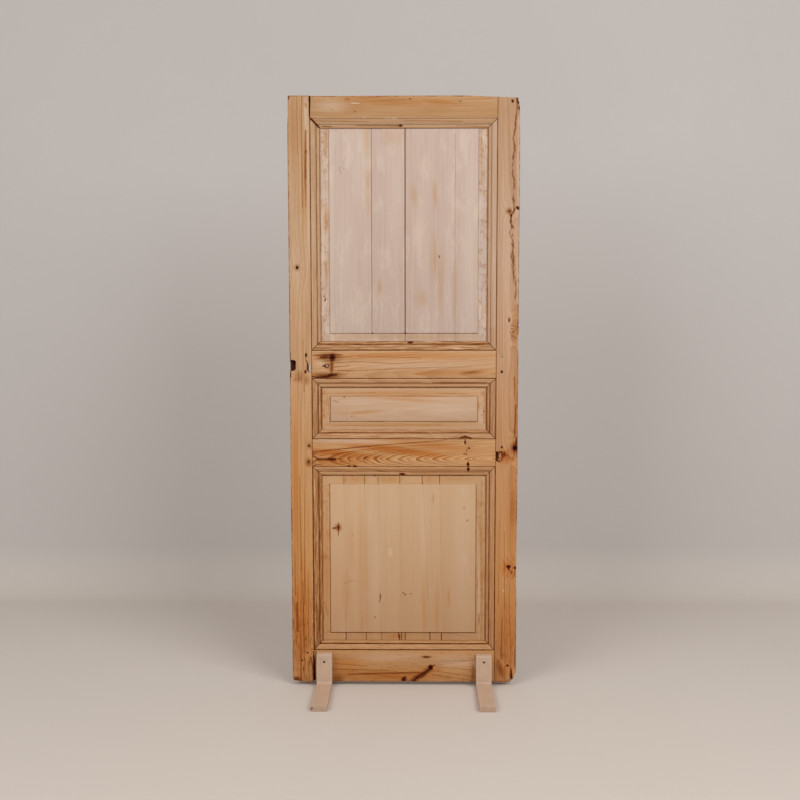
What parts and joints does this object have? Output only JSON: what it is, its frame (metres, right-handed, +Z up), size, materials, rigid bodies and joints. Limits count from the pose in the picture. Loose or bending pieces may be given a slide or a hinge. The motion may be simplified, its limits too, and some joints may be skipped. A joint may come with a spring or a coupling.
{
  "type": "panelled wooden door",
  "caption": "Weathered stripped-pine interior door with moulded frame, raised panels, keyhole and worn edges, standing on cream L-shaped feet.",
  "frame": {"origin": "on the floor under the middle of the door, midway between its two faces", "axes": "+Z up, -Y out of the moulded show face, +X towards the hinge side, with the keyhole at -X"},
  "size_m": [0.8, 0.567, 2.078],
  "materials": {
    "pine_frame": "stripped orange-tan pine with dark dirt lines",
    "pine_top_panel": "pale pinkish stripped pine with whitish residue",
    "pine_panel": "pale tan stripped pine",
    "peg_wood": "dark worn end grain",
    "foot_paint": "matt cream paint on wood",
    "screw_steel": "black-finished screw head"
  },
  "bodies": {
    "root": {"stile_left": "pine_frame", "stile_right": "pine_frame", "rail_top": "pine_frame", "rail_lock": "pine_frame", "rail_middle": "pine_frame", "rail_bottom": "pine_frame", "panel_top_board_1": "pine_top_panel", "panel_top_board_2": "pine_top_panel", "panel_top_board_3": "pine_top_panel", "panel_top_board_4": "pine_top_panel", "panel_top_board_5": "pine_top_panel", "panel_middle_board": "pine_panel", "panel_bottom_board_1": "pine_panel", "panel_bottom_board_2": "pine_panel", "panel_bottom_board_3": "pine_panel", "panel_bottom_board_4": "pine_panel", "panel_bottom_board_5": "pine_panel", "panel_bottom_board_6": "pine_panel", "panel_bottom_board_7": "pine_panel", "peg_lock_left_upper": "peg_wood", "peg_lock_left_lower": "peg_wood", "peg_lock_right_upper": "peg_wood", "peg_lock_right_lower": "peg_wood", "peg_middle_left_upper": "peg_wood", "peg_middle_left_lower": "peg_wood", "peg_middle_right_upper": "peg_wood", "peg_bottom_left_inner": "peg_wood", "peg_bottom_left_outer": "peg_wood", "peg_bottom_right_inner": "peg_wood", "peg_bottom_right_outer": "peg_wood", "foot_front_left": "foot_paint", "screw_front_left": "screw_steel", "foot_front_right": "foot_paint", "screw_front_right": "screw_steel", "foot_back_left": "foot_paint", "screw_back_left": "screw_steel", "foot_back_right": "foot_paint", "screw_back_right": "screw_steel"}
  },
  "joints": []
}
